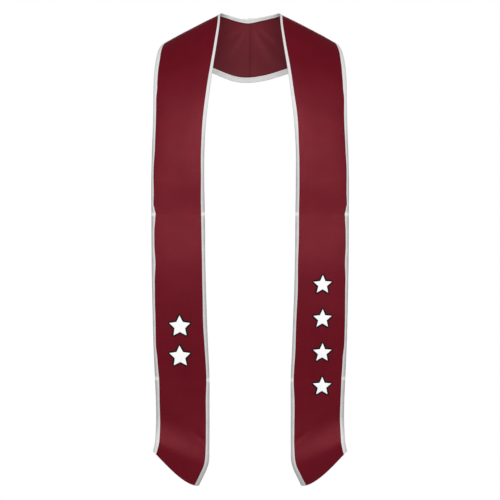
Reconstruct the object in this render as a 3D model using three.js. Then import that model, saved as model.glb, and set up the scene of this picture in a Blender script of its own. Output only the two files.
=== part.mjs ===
// A graduation stole, as it hangs on its wearer: two mirrored satin halves that each run from a slanted
// tip, up the chest and over the shoulder, to a seam at the centre of the back. White binding wraps both
// long edges, and each front carries a column of star patches.
// The frame is in millimetres: +Z is up, the front faces -Y, and the origin lies between the two neck points,
// where the stole sits on the shoulders.

import * as THREE from 'three';

// The way that the stole hangs.
const frontDrop = 896; // from the neck point down to the tip of a front
const neckHalfWidth = 57.5; // from the centre plane out to a neck point
const chestDepth = 116; // how far the chest carries the fronts forward of the neck points
const napeDepth = 66; // how far the neckline runs back behind them

// The cloth.
const bandWidth = 102; // across the band on the front, binding included
const bandThickness = 1.4; // face, stiffener and lining, pressed together
const trimWidth = 8; // binding that shows on the outside
const trimUnderWidth = 11.5; // binding that shows on the lining side
const trimThickness = 1;
const clearance = 0.3; // left between pieces that touch
const seamGap = 0.3; // left between the two halves at the centre of the back

// The star patches: a black backing with a white star on top.
const patchThickness = 1;
const patchBorder = 2.2; // black that shows round the white
const patchClearance = 0.4;

// A table's rows as objects with its column names.
function table(columns, rows) {
  return rows.map((row) => Object.fromEntries(columns.map((column, i) => [column, row[i]])));
}

// Sections of the right half from its tip to the shoulder, each a line from the neck edge to the outer edge.
// drop, reach and forward place the neck edge, as shares of frontDrop, neckHalfWidth and chestDepth.
// slope is how many degrees the line falls towards its outer end, and turn how many it is turned back.
// span is its length, crown its bulge and sag how low its middle hangs, as shares of bandWidth.
const frontSections = table(
  ['name', 'drop', 'reach', 'forward', 'slope', 'turn', 'span', 'crown', 'sag'],
  [
    ['hem', 1, 1.615, 0.797, -36, 0.4, 1.066, 0.004, 0.124],
    ['tip', 0.954, 1.312, 0.85, -22, 1.9, 1.074, 0.01, 0.055],
    ['flare', 0.917, 1.285, 0.823, -14.5, 2.5, 1.035, 0.014, 0.015],
    ['hip', 0.88, 1.28, 0.799, -8, 2.3, 1.01, 0.018, 0],
    ['thigh', 0.83, 1.28, 0.813, -3.8, 2.6, 1.005, 0.018, 0],
    ['lowerFold', 0.78, 1.277, 0.853, -1.6, 2.8, 1.02, 0.01, 0],
    ['belly', 0.707, 1.32, 0.914, 0, 3.3, 1.017, 0.02, 0],
    ['waist', 0.634, 1.36, 0.965, 0, 3.9, 1.009, 0.024, 0],
    ['ribs', 0.536, 1.402, 1, 0, 5, 1.002, 0.026, 0],
    ['upperFold', 0.437, 1.42, 0.974, 0, 6.7, 1.004, 0.014, 0],
    ['lowChest', 0.367, 1.44, 0.983, 0, 9.4, 1.004, 0.03, 0],
    ['chest', 0.301, 1.434, 0.957, 1.5, 11, 1.004, 0.034, 0],
    ['highChest', 0.238, 1.378, 0.88, 5.5, 11, 1.03, 0.034, 0],
    ['collarbone', 0.183, 1.285, 0.766, 9, 9.9, 1.09, 0.03, 0],
    ['yoke', 0.126, 1.178, 0.595, 12.5, 7.8, 1.164, 0.026, 0],
    ['highYoke', 0.071, 1.078, 0.38, 18, 4.7, 1.23, 0.018, 0],
    ['underShoulder', 0.026, 1.012, 0.15, 23.3, 2.4, 1.258, 0.018, 0],
    ['shoulder', 0.005, 1, 0, 26.9, 2, 1.23, 0.02, 0],
  ],
);

// Sections from the shoulder to the seam. Here rise is how far the neck edge is above the neck points,
// and back how far it is behind them, as shares of napeDepth.
const backSections = table(
  ['name', 'rise', 'reach', 'back', 'slope', 'turn', 'span', 'crown'],
  [
    ['overShoulder', 0, 0.991, 0.18, 30.7, 3.7, 1.223, 0.018],
    ['trapezius', 0.072, 0.948, 0.39, 37.5, 5.6, 1.22, 0.016],
    ['shoulderBlade', 0.084, 0.835, 0.605, 46, 7.9, 1.218, 0.014],
    ['innerBlade', 0.078, 0.66, 0.775, 55, 10.3, 1.226, 0.014],
    ['besideSpine', 0.043, 0.4, 0.917, 65.5, 12.4, 1.222, 0.028],
    ['nape', 0.03, 0.157, 0.989, 79, 14, 1.261, 0.034],
    ['seam', 0.03, 0, 1, 90, 14.4, 1.277, 0.034],
  ],
);

// Creases across a front: two left by folding the stole for its box, and a soft one above the tip, where the
// cloth swings out. depth, reach to each side and slant, the rise from the neck edge to the outer edge, are
// shares of bandWidth.
const folds = table(
  ['section', 'depth', 'reach', 'slant'],
  [
    ['hip', 0.012, 0.3, 0.4],
    ['lowerFold', 0.014, 0.16, 0],
    ['upperFold', 0.016, 0.18, 0],
  ],
);

// Columns of stars, which hang plumb below the first star. top is the height of its centre as a share of
// frontDrop, out how far that is outside the middle of the band, as a share of its width, pitch the distance
// between centres in tip radii, and notch the radius of the notches as a share of tipRadius.
const starColumns = table(
  ['side', 'count', 'top', 'out', 'pitch', 'tipRadius', 'notch'],
  [
    ['left', 2, 0.668, 0, 2.72, 20.5, 0.5],
    ['right', 4, 0.582, 0.017, 3.5, 18, 0.46],
  ],
);
const starTips = 5;
const starRings = 2; // rings of triangles from a star's centre to its outline

// How finely the cloth is divided.
const stepsPerSection = 3;
const foldSteps = [-0.5, 0.5]; // extra stations beside a crease, as shares of its reach
const panelCut = 0.3; // a line along the panel between its binding and its middle, as a share of bandWidth
const samplesPerSection = 24; // for measuring lengths along the band
const halvings = 40; // for finding a station
const probe = 0.01; // a small step on the surface, for finding which way it faces
const crownPower = 3; // how square the bulge of a section is
const sagSkew = 0.7; // below 1, the sag is deepest on the neck side of the middle

const sections = [
  ...frontSections.map((s) => ({ ...s, y: -s.forward * chestDepth, z: -s.drop * frontDrop })),
  ...backSections.map((s) => ({ ...s, sag: 0, y: s.back * napeDepth, z: s.rise * napeDepth })),
];
const lastSection = sections.length - 1;

// The two long edges of the right half, as smooth curves through the ends of the sections. A mirrored copy of
// the last but one section continues them past the seam, so that the halves meet without a corner.
function edgeCurves() {
  const inner = [];
  const outer = [];
  for (const s of sections) {
    const slope = THREE.MathUtils.degToRad(s.slope);
    const turn = THREE.MathUtils.degToRad(s.turn);
    const across = new THREE.Vector3(
      Math.cos(turn) * Math.cos(slope),
      Math.sin(turn),
      -Math.cos(turn) * Math.sin(slope),
    );
    const start = new THREE.Vector3(s.reach * neckHalfWidth, s.y, s.z);
    inner.push(start);
    outer.push(start.clone().addScaledVector(across, s.span * bandWidth));
  }
  for (const edge of [inner, outer]) {
    const beforeSeam = edge[lastSection - 1];
    edge.push(new THREE.Vector3(-beforeSeam.x, beforeSeam.y, beforeSeam.z));
  }
  return [new THREE.CatmullRomCurve3(inner), new THREE.CatmullRomCurve3(outer)];
}

const [innerEdge, outerEdge] = edgeCurves();

// A point on an edge, at a station counted in sections from the tip.
function edgePoint(edge, station) {
  return edge.getPoint(station / (lastSection + 1));
}

// A column of the sections table at a station between rows.
function columnAt(column, station) {
  const row = Math.min(Math.floor(station), lastSection - 1);
  const share = THREE.MathUtils.smoothstep(station - row, 0, 1);
  return THREE.MathUtils.lerp(sections[row][column], sections[row + 1][column], share);
}

// Distance along the middle of the band, from the tip to each sample.
function measureBand() {
  const lengths = [0];
  const middle = (station) => edgePoint(innerEdge, station).lerp(edgePoint(outerEdge, station), 0.5);
  for (let i = 1; i <= lastSection * samplesPerSection; i++) {
    const step = middle(i / samplesPerSection).distanceTo(middle((i - 1) / samplesPerSection));
    lengths.push(lengths[i - 1] + step);
  }
  return lengths;
}

const bandLengths = measureBand();

function lengthAt(station) {
  const place = THREE.MathUtils.clamp(station, 0, lastSection) * samplesPerSection;
  const sample = Math.min(Math.floor(place), bandLengths.length - 2);
  return THREE.MathUtils.lerp(bandLengths[sample], bandLengths[sample + 1], place - sample);
}

function stationAt(length) {
  let [low, high] = [0, lastSection];
  for (let i = 0; i < halvings; i++) {
    const middle = (low + high) / 2;
    if (lengthAt(middle) < length) low = middle;
    else high = middle;
  }
  return (low + high) / 2;
}

const foldStations = folds.map((fold) => sections.findIndex((s) => s.name === fold.section));

// How deep the creases are at a point of the band, in millimetres. across runs from 0 at the neck edge to 1
// at the outer edge.
function creaseDepth(across, station) {
  let depth = 0;
  folds.forEach((fold, i) => {
    const crease = lengthAt(foldStations[i]) + fold.slant * bandWidth * (across - 0.5);
    const away = Math.abs(lengthAt(station) - crease) / (fold.reach * bandWidth);
    if (away < 1) depth += fold.depth * bandWidth * (1 - away) ** 2;
  });
  return depth;
}

// A point of the straight section at a station, let hang by the section's sag.
function ruledPoint(across, station) {
  const arch = Math.sin(Math.PI * THREE.MathUtils.clamp(across, 0, 1) ** sagSkew);
  const point = edgePoint(innerEdge, station).lerp(edgePoint(outerEdge, station), across);
  point.z -= columnAt('sag', station) * bandWidth * arch;
  return point;
}

// The outward direction of a surface given as a function of across and station.
function outward(surface, across, station) {
  const alongWidth = surface(across + probe, station).sub(surface(across - probe, station));
  const alongBand = surface(across, station + probe).sub(surface(across, Math.max(station - probe, 0)));
  return alongWidth.cross(alongBand).normalize();
}

// The middle of the cloth's thickness: bulged by the crown and pressed in by the creases.
function clothPoint(across, station) {
  const arch = 1 - Math.abs(2 * across - 1) ** crownPower;
  const bulge = columnAt('crown', station) * bandWidth * arch - creaseDepth(across, station);
  return ruledPoint(across, station).addScaledVector(outward(ruledPoint, across, station), bulge);
}

// A point at a given height off the middle of the cloth. side is 1 for the right half and -1 for the left.
function liftedPoint(side, across, station, height) {
  const point = clothPoint(across, station).addScaledVector(outward(clothPoint, across, station), height);
  point.x = side * (point.x + seamGap / 2);
  return point;
}

// The stations at which a half is divided, from the hem to the seam.
function stationList() {
  const stations = [];
  for (let i = 0; i <= lastSection * stepsPerSection; i++) stations.push(i / stepsPerSection);
  folds.forEach((fold, i) => {
    for (const step of foldSteps) {
      stations.push(stationAt(lengthAt(foldStations[i]) + step * fold.reach * bandWidth));
    }
  });
  return stations.sort((a, b) => a - b);
}

const stations = stationList();

// A mesh geometry from points and triangles. A left half is a mirror image, so its triangles are turned.
function geometryFrom(side, points, triangles) {
  const geometry = new THREE.BufferGeometry().setFromPoints(points);
  geometry.setIndex(triangles.flatMap(([a, b, c]) => (side > 0 ? [a, b, c] : [a, c, b])));
  geometry.computeVertexNormals();
  return geometry;
}

// A solid lofted along one half. The outline runs round its section as a list of [distance, height], and edge
// says from which edge of the band the distances are taken.
function loft(side, edge, outline) {
  const points = [];
  const triangles = [];
  const count = outline.length;
  for (const station of stations) {
    const width = edgePoint(innerEdge, station).distanceTo(edgePoint(outerEdge, station));
    for (const [distance, height] of outline) {
      const across = edge === 'inner' ? distance / width : 1 - distance / width;
      points.push(liftedPoint(side, across, station, height));
    }
  }
  for (let i = 0; i < stations.length - 1; i++) {
    for (let j = 0; j < count; j++) {
      const [a, b] = [i * count + j, i * count + ((j + 1) % count)];
      triangles.push([a, b + count, b], [a, a + count, b + count]);
    }
  }
  const contour = outline.map(([distance, height]) => new THREE.Vector2(distance, height));
  const cap = THREE.ShapeUtils.triangulateShape(contour, []);
  const top = (stations.length - 1) * count;
  for (const [a, b, c] of cap) triangles.push([a, b, c], [top + a, top + c, top + b]);
  // The outline of an outer edge runs the other way round in space, so that solid is turned once more.
  return geometryFrom(edge === 'inner' ? side : -side, points, triangles);
}

// The satin panel. Its two edges lie inside the binding.
function panelGeometry(side) {
  const half = bandThickness / 2;
  const points = [];
  const triangles = [];
  const tuck = trimThickness + clearance;
  const cuts = [tuck, trimUnderWidth, panelCut * bandWidth];
  const row = 2 * cuts.length + 1;
  for (const station of stations) {
    const width = edgePoint(innerEdge, station).distanceTo(edgePoint(outerEdge, station));
    const shares = cuts.map((cut) => cut / width);
    const across = [...shares, 0.5, ...shares.map((share) => 1 - share).reverse()];
    for (const height of [half, -half]) {
      for (const share of across) points.push(liftedPoint(side, share, station, height));
    }
  }
  const last = stations.length - 1;
  const at = (i, layer, j) => (2 * i + layer) * row + j;
  const quad = (a, b, c, d) => triangles.push([a, b, c], [a, c, d]);
  for (let i = 0; i < last; i++) {
    for (let j = 0; j < row - 1; j++) {
      quad(at(i, 0, j), at(i, 0, j + 1), at(i + 1, 0, j + 1), at(i + 1, 0, j));
      quad(at(i, 1, j), at(i + 1, 1, j), at(i + 1, 1, j + 1), at(i, 1, j + 1));
    }
    quad(at(i, 1, 0), at(i, 0, 0), at(i + 1, 0, 0), at(i + 1, 1, 0));
    quad(at(i, 0, row - 1), at(i, 1, row - 1), at(i + 1, 1, row - 1), at(i + 1, 0, row - 1));
  }
  for (let j = 0; j < row - 1; j++) {
    quad(at(0, 0, j), at(0, 1, j), at(0, 1, j + 1), at(0, 0, j + 1));
    quad(at(last, 0, j), at(last, 0, j + 1), at(last, 1, j + 1), at(last, 1, j));
  }
  return geometryFrom(side, points, triangles);
}

// The binding's section: a strip folded round the edge, longer on the lining side, with a slot for the panel.
function trimOutline() {
  const slot = bandThickness / 2 + clearance;
  const skin = slot + trimThickness;
  const round = trimThickness; // how far the folded edge is rounded
  return [
    [trimWidth, skin],
    [round, skin],
    [0, slot],
    [0, -slot],
    [round, -skin],
    [trimUnderWidth, -skin],
    [trimUnderWidth, -slot],
    [trimThickness, -slot],
    [trimThickness, slot],
    [trimWidth, slot],
  ];
}

// The outline of a star as [across, up] points round its centre, grown by outset with its tips cut square.
function starOutline(tipRadius, notchRadius, outset) {
  const corner = (i) => {
    const angle = Math.PI / 2 + (i * Math.PI) / starTips;
    const radius = i % 2 === 0 ? tipRadius : notchRadius;
    return new THREE.Vector2(radius * Math.cos(angle), radius * Math.sin(angle));
  };
  const outline = [];
  for (let i = 0; i < 2 * starTips; i++) {
    const here = corner(i);
    const [before, after] = [corner(i - 1), corner(i + 1)];
    const sideIn = here.clone().sub(before).normalize();
    const sideOut = after.sub(here).normalize();
    const normals = [sideIn, sideOut].map((d) => new THREE.Vector2(d.y, -d.x));
    if (outset === 0) outline.push(here);
    else if (i % 2 === 0) normals.forEach((n) => outline.push(here.clone().addScaledVector(n, outset)));
    else {
      const bisector = normals[0].clone().add(normals[1]).normalize();
      outline.push(here.clone().addScaledVector(bisector, outset / bisector.dot(normals[0])));
    }
  }
  return outline;
}

// The station at which the cloth is at a given height, found by halving. The fronts only ever fall.
function stationAtHeight(across, z) {
  let [low, high] = [0, frontSections.length - 1];
  for (let i = 0; i < halvings; i++) {
    const middle = (low + high) / 2;
    if (clothPoint(across, middle).z < z) low = middle;
    else high = middle;
  }
  return (low + high) / 2;
}

// How far across the band the centre of a star is at height z, when its column hangs plumb.
function starAcross(column, z) {
  const [[firstInner, firstOuter], [inner, outer]] = [-column.top * frontDrop, z].map((height) => {
    const station = stationAtHeight(0.5, height);
    return [edgePoint(innerEdge, station).x, edgePoint(outerEdge, station).x];
  });
  return (THREE.MathUtils.lerp(firstInner, firstOuter, 0.5 + column.out) - inner) / (outer - inner);
}

// A patch laid on a front, with its centre at a place across the band and at height z, and its foot off the cloth.
function patchGeometry(side, centre, z, outline, foot) {
  const middle = stationAtHeight(centre, z);
  const width = edgePoint(innerEdge, middle).distanceTo(edgePoint(outerEdge, middle));
  const points = [];
  for (const height of [foot + patchThickness, foot]) {
    points.push(liftedPoint(side, centre, middle, height));
    for (let ring = 1; ring <= starRings; ring++) {
      for (const corner of outline) {
        const across = centre + (corner.x * ring) / starRings / width;
        const station = stationAtHeight(across, z + (corner.y * ring) / starRings);
        points.push(liftedPoint(side, across, station, height));
      }
    }
  }
  const count = outline.length;
  const layer = 1 + starRings * count;
  const triangles = [];
  for (let j = 0; j < count; j++) {
    const next = (j + 1) % count;
    const face = [[0, 1 + j, 1 + next]];
    for (let ring = 0; ring < starRings - 1; ring++) {
      const [a, b] = [1 + ring * count + j, 1 + ring * count + next];
      face.push([a, a + count, b + count], [a, b + count, b]);
    }
    for (const [a, b, c] of face) triangles.push([a, b, c], [layer + a, layer + c, layer + b]);
    const [a, b] = [layer - count + j, layer - count + next];
    triangles.push([a, layer + a, layer + b], [a, layer + b, b]);
  }
  return geometryFrom(side, points, triangles);
}

const satin = new THREE.MeshStandardMaterial({ color: 0x74222e, roughness: 0.5, metalness: 0 });
const binding = new THREE.MeshStandardMaterial({ color: 0xdcdcdc, roughness: 0.6, metalness: 0 });
const blackTwill = new THREE.MeshStandardMaterial({ color: 0x0d0d0e, roughness: 0.8, metalness: 0 });
const whiteTwill = new THREE.MeshStandardMaterial({ color: 0xf7f7f7, roughness: 0.75, metalness: 0 });

function piece(name, geometry, material) {
  const mesh = new THREE.Mesh(geometry, material);
  mesh.name = name;
  return mesh;
}

const stole = new THREE.Group();
const sides = { left: -1, right: 1 };

for (const [name, side] of Object.entries(sides)) {
  stole.add(piece(`${name}_panel`, panelGeometry(side), satin));
  stole.add(piece(`${name}_neck_trim`, loft(side, 'inner', trimOutline()), binding));
  stole.add(piece(`${name}_outer_trim`, loft(side, 'outer', trimOutline()), binding));
}

for (const column of starColumns) {
  const side = sides[column.side];
  const backingFoot = bandThickness / 2 + patchClearance;
  const starFoot = backingFoot + patchThickness + clearance;
  const notchRadius = column.notch * column.tipRadius;
  const backingOutline = starOutline(column.tipRadius, notchRadius, patchBorder);
  const outline = starOutline(column.tipRadius, notchRadius, 0);
  for (let i = 0; i < column.count; i++) {
    const z = -column.top * frontDrop - i * column.pitch * column.tipRadius;
    const centre = starAcross(column, z);
    const label = `${column.side}_star_${i + 1}`;
    const backing = patchGeometry(side, centre, z, backingOutline, backingFoot);
    const star = patchGeometry(side, centre, z, outline, starFoot);
    stole.add(piece(`${label}_backing`, backing, blackTwill));
    stole.add(piece(label, star, whiteTwill));
  }
}

export default stole;
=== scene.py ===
# %% [markdown]
# # A graduation stole, dressed in Blender
# The stole is a sash of dark maroon satin that is worn round the neck. Two long fronts hang down to slanted tips,
# and the band runs over the shoulders to a seam at the centre of the back. White satin binding wraps both long
# edges, and each front carries a column of star patches: white twill on a black backing, as varsity patches are.
# The lesson builds the cloth first, then the binding, the patches and the stitches, and then gives each its finish.
# Everything is in metres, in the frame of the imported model: +Z is up and the front faces -Y.

# %% Load the frame
import math

import bmesh
import bpy
import numpy as np
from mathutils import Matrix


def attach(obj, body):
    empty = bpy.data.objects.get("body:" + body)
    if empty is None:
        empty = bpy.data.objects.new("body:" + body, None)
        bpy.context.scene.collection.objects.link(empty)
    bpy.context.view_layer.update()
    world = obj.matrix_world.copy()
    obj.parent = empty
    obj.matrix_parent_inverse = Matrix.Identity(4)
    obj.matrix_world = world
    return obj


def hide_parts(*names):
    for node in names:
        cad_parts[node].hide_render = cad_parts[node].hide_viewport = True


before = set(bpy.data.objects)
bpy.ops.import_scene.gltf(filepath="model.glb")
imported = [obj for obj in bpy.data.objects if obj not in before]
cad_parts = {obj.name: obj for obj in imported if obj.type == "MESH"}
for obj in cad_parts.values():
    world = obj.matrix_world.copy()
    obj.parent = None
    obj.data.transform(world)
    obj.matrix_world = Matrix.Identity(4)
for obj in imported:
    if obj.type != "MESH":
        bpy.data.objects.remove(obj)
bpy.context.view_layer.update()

# %% [markdown]
# ## The camera
# The photograph is a level view from straight ahead with a long lens, so both fronts look upright and the back of
# the band shows between them. A camera 2.5 m away, level with the middle of the stole, gives that perspective.

# %% The camera
scene = bpy.context.scene
camera = bpy.data.objects.new("camera", bpy.data.cameras.new("camera"))
scene.collection.objects.link(camera)
camera.data.sensor_width = 36
camera.data.lens = 93.87
camera.location = (-0.0002, -2.515, -0.4576)
camera.rotation_euler = (math.pi / 2, 0, 0)
scene.camera = camera
print("camera: level, lens", camera.data.lens, "mm")

# %% [markdown]
# ## The hang of the cloth
# Worn cloth could be simulated on a bust, but its edges would land wherever the simulation leaves them. Here each
# cross section of the band is a row of a table instead: where its neck edge is, how it slopes and turns, and how
# long it is. Smooth curves through the ends of the rows are the two long edges. The rows are those of the part's
# source. Only the hem is drawn up by 0.9 mm, because the cloth's edges lie a little inside those of the solids.

# %% The sections of one half, from the tip to the seam
FRONT_DROP, NECK_HALF_WIDTH, CHEST_DEPTH, NAPE_DEPTH, BAND_WIDTH = 0.896, 0.0575, 0.116, 0.066, 0.102

# name, drop, reach, forward, slope, turn, span, crown, sag
front_table = """
hem 0.999 1.615 0.797 -36 0.4 1.066 0.004 0.124
tip 0.954 1.312 0.85 -22 1.9 1.074 0.01 0.055
flare 0.917 1.285 0.823 -14.5 2.5 1.035 0.014 0.015
hip 0.88 1.28 0.799 -8 2.3 1.01 0.018 0
thigh 0.83 1.28 0.813 -3.8 2.6 1.005 0.018 0
lowerFold 0.78 1.277 0.853 -1.6 2.8 1.02 0.01 0
belly 0.707 1.32 0.914 0 3.3 1.017 0.02 0
waist 0.634 1.36 0.965 0 3.9 1.009 0.024 0
ribs 0.536 1.402 1 0 5 1.002 0.026 0
upperFold 0.437 1.42 0.974 0 6.7 1.004 0.014 0
lowChest 0.367 1.44 0.983 0 9.4 1.004 0.03 0
chest 0.301 1.434 0.957 1.5 11 1.004 0.034 0
highChest 0.238 1.378 0.88 5.5 11 1.03 0.034 0
collarbone 0.183 1.285 0.766 9 9.9 1.09 0.03 0
yoke 0.126 1.178 0.595 12.5 7.8 1.164 0.026 0
highYoke 0.071 1.078 0.38 18 4.7 1.23 0.018 0
underShoulder 0.026 1.012 0.15 23.3 2.4 1.258 0.018 0
shoulder 0.005 1 0 26.9 2 1.23 0.02 0
"""
# name, rise, reach, back, slope, turn, span, crown
back_table = """
overShoulder 0 0.991 0.18 30.7 3.7 1.223 0.018
trapezius 0.072 0.948 0.39 37.5 5.6 1.22 0.016
shoulderBlade 0.084 0.835 0.605 46 7.9 1.218 0.014
innerBlade 0.078 0.66 0.775 55 10.3 1.226 0.014
besideSpine 0.043 0.4 0.917 65.5 12.4 1.222 0.028
nape 0.03 0.157 0.989 79 14 1.261 0.034
seam 0.03 0 1 90 14.4 1.277 0.034
"""
front_rows, back_rows = ([row.split() for row in table.strip().splitlines()] for table in (front_table, back_table))
names = [row[0] for row in front_rows + back_rows]
SEAM = len(names) - 1  # the station of the seam; stations are counted in sections from the tip
SHOULDER = names.index("shoulder")
stations = np.arange(len(names))
fronts, backs = (np.array([row[1:] for row in rows]).astype(float) for rows in (front_rows, back_rows))
front_scale, back_scale = (NECK_HALF_WIDTH, -CHEST_DEPTH, -FRONT_DROP), (NECK_HALF_WIDTH, NAPE_DEPTH, NAPE_DEPTH)
neck_edge = np.vstack([fronts[:, [1, 2, 0]] * front_scale, backs[:, [1, 2, 0]] * back_scale])
slope, turn, span, crown, sag = np.vstack([fronts, np.pad(backs, [(0, 0), (0, 1)])])[:, 3:].T  # no sag on the back
slope, turn = np.radians(slope), np.radians(turn)
span, crown, sag = span * BAND_WIDTH, crown * BAND_WIDTH, sag * BAND_WIDTH
slant = np.stack([np.cos(turn) * np.cos(slope), np.sin(turn), -np.cos(turn) * np.sin(slope)], 1)
# Real binding is thinner than the solids' and rolls over, so the cloth is drawn in a little from their edges.
on_front = stations < SHOULDER
neck_drawn_in = np.where(on_front, 0.0021, 0.0016)
neck_drawn_in[SHOULDER - 2 : SHOULDER + 2] = 0.001, 0.0002, 0.0004, 0.001  # less where the neck holds it up
outer_drawn_in = np.where(on_front, 0.0005, 0.0016)
outer_edge = neck_edge + slant * (span - outer_drawn_in)[:, None]
neck_edge = neck_edge + slant * neck_drawn_in[:, None]
print(len(names), "sections from", names[0], "to", names[-1])

# %% [markdown]
# ## Smooth edges
# A centripetal Catmull-Rom curve passes through every section and never loops between close ones. A mirrored copy
# of the last but one section goes on past the seam, so the two halves meet there without a corner.


# %% The two long edges as curves
def edge_curve(points):
    """A function that gives points of a centripetal Catmull-Rom curve at stations, one per row of points."""
    points = np.vstack([points, points[-2] * [-1, 1, 1]])
    knots = np.vstack([2 * points[0] - points[1], points, 2 * points[-1] - points[-2]])
    gaps = np.linalg.norm(np.diff(knots, axis=0), axis=1) ** 0.5

    def at(station):
        row = np.clip(np.floor(station).astype(int), 0, len(points) - 2)
        s = (station - row)[..., None]
        p0, p1, p2, p3 = (knots[row + k] for k in range(4))
        d0, d1, d2 = (gaps[row + k][..., None] for k in range(3))
        t1 = ((p1 - p0) / d0 - (p2 - p0) / (d0 + d1) + (p2 - p1) / d1) * d1
        t2 = ((p2 - p1) / d1 - (p3 - p1) / (d1 + d2) + (p3 - p2) / d2) * d1
        return p1 + s * (t1 + s * (3 * (p2 - p1) - 2 * t1 - t2 + s * (2 * (p1 - p2) + t1 + t2)))

    return at


neck_curve, outer_curve = edge_curve(neck_edge), edge_curve(outer_edge)
SAMPLES = 24  # for each section, to measure lengths
sampled = np.linspace(0, SEAM + 1, SAMPLES * (SEAM + 1) + 1)
middle_line = (neck_curve(sampled) + outer_curve(sampled)) / 2
sampled_lengths = np.concatenate([[0], np.cumsum(np.linalg.norm(np.diff(middle_line, axis=0), axis=1))])


def length_at(station):
    """Distance along the middle of the band, from the tip."""
    return np.interp(station, sampled, sampled_lengths)


def station_at(length):
    return np.interp(length, sampled_lengths, sampled)


def width_at(station):
    return np.linalg.norm(outer_curve(station) - neck_curve(station), axis=-1)


HALF_LENGTH = float(length_at(SEAM))
print("one half is", round(1000 * HALF_LENGTH), "mm long along its middle")

# %% [markdown]
# ## Folds, creases and curled edges
# Satin that was folded for its box keeps two flat creases across each front. Above the tip the cloth swings out in a
# soft diagonal fold, which is pinched where it meets the inner binding. The binding makes its edges curl towards the
# lining, and they lie flat again where a crease crosses them. The rest is nearly smooth, with waves of a tenth to a
# sixth of a millimetre. Each of these heights off the surface is a function of the place on the band.


# %% The small shapes of the cloth
def smooth_step(x):
    x = np.clip(x, 0, 1)
    return x * x * (3 - 2 * x)


def eased(at, places, values):
    """Values between the rows of a table, eased from each to the next."""
    row = np.clip(np.searchsorted(places, at, side="right") - 1, 0, len(places) - 2)
    share = smooth_step((at - places[row]) / (places[row + 1] - places[row]))
    return values[row] + (values[row + 1] - values[row]) * share


# section, how far below it, depth, reach to each side, and slant, the rise from the neck edge to the outer edge
creases = [
    ("hip", 0.0145, 0.0009, 0.034, 0.043),
    ("lowerFold", 0, 0.0003, 0.02, 0),
    ("upperFold", 0, 0.0002, 0.022, 0),
]
PINCH_BELOW, PINCH_DEPTH, PINCH_REACH = 0.018, 0.0009, 0.0055  # of the soft fold, beside the inner binding
pressed = [float(length_at(names.index(name))) for name in ("lowerFold", "upperFold")]


def crease_depth(across, station):
    depth = 0
    for name, below, deep, reach, rise in creases:
        line = length_at(names.index(name)) - below + rise * (across - 0.5)
        away = np.abs(length_at(station) - line) / reach
        soft = smooth_step(1 - away) if rise else np.clip(1 - away, 0, 1) ** 2
        depth = depth + deep * soft
    soft_fold_slant = creases[0][-1]
    pinched = length_at(names.index("hip")) - PINCH_BELOW + soft_fold_slant * (across - 0.15)
    away = (length_at(station) - pinched) / PINCH_REACH
    return depth + PINCH_DEPTH * smooth_step((0.45 - across) / 0.4) * np.exp(-(away**2))


def at_crease(length, reach):
    """1 on a pressed crease, falling to 0 within reach of it."""
    return sum(np.exp(-(((length - place) / reach) ** 2)) for place in pressed)


CURL, CURL_REACH = 0.0017, 0.006  # how deep the edges roll, and how wide the rolled part is


def edge_curl(side, across, station):
    """How far the last millimetres at each edge roll towards the lining."""
    length, width = length_at(station), width_at(station)
    uneven = 1 + 0.15 * np.sin(length / 0.045 + 2.1 * side) + 0.1 * np.sin(length / 0.021 + side)
    held_flat = smooth_step((station - SHOULDER + 7) / 6)  # by the chest and the shoulder
    deep = CURL * uneven * (1 - 0.85 * np.clip(at_crease(length, 0.004), 0, 1)) * (1 - 0.85 * held_flat)
    rolled = 0
    for distance in (across * width, (1 - across) * width):
        rolled = rolled + np.clip(1 - distance / CURL_REACH, 0, 1.3) ** 2
    return deep * rolled


def soft_waves(side, across, station):
    """Three slow waves, each with its own height, length and slant."""
    length = length_at(station)
    waves = 0.00008 * np.sin(length / 0.0118 + 1.9 * across + 0.7 * side)
    waves = waves + 0.00016 * np.sin(length / 0.0193 - 2.6 * across + 2.3 * side)
    return waves + 0.00003 * np.sin(length / 0.0071 + 5.3 * across * side)


def back_wrinkles(side, across, station):
    """Faint folds that fan out below the nape, one upright fold beside the seam, and the dip of the seam."""
    along = HALF_LENGTH - length_at(station)
    down = across * width_at(station)
    angle = np.arctan2(along, down + 0.012)
    reached = smooth_step((down - 0.012) / 0.03) * smooth_step((0.115 - down) / 0.03)
    near = smooth_step((0.075 - along) / 0.03)
    fan = 0.0006 * np.sin(17 * angle + 0.8 * side) * reached * near * (1 if side > 0 else 0.6)
    upright = 0.0008 * np.exp(-(((along - 0.0075) / 0.0024) ** 2)) * (1 if side > 0 else 0)
    seam_dip = 0.0009 * np.exp(-((along / 0.0012) ** 2))
    return fan - upright - seam_dip


print("creases are pressed at", [round(1000 * x) for x in pressed], "mm from the tip")

# %% [markdown]
# ## The surface itself
# A straight section is let sag, bulged by its crown and then given its small shapes, each along the direction that
# the surface faces. That direction comes from the cross product of a small step across and a small step along.
# NumPy works out all the points of a piece in one go, which is far quicker than a loop.

# %% A point on the cloth, and which way the cloth faces there
PROBE = 0.01  # a small step across or along, in shares of the width and in sections
CROWN_POWER, SAG_SKEW = 3, 0.7  # how square the bulge is; below 1, the sag is deepest on the neck side


def ruled_point(across, station):
    start, end = neck_curve(station), outer_curve(station)
    point = start + (end - start) * across[..., None]
    hang = eased(station, stations, sag) * np.sin(math.pi * np.clip(across, 0, 1) ** SAG_SKEW)
    return point - hang[..., None] * [0, 0, 1]


def facing(surface, across, station):
    over = surface(across + PROBE, station) - surface(across - PROBE, station)
    along = surface(across, station + PROBE) - surface(across, np.maximum(station - PROBE, 0))
    direction = np.cross(over, along)
    return direction / np.linalg.norm(direction, axis=-1, keepdims=True)


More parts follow.
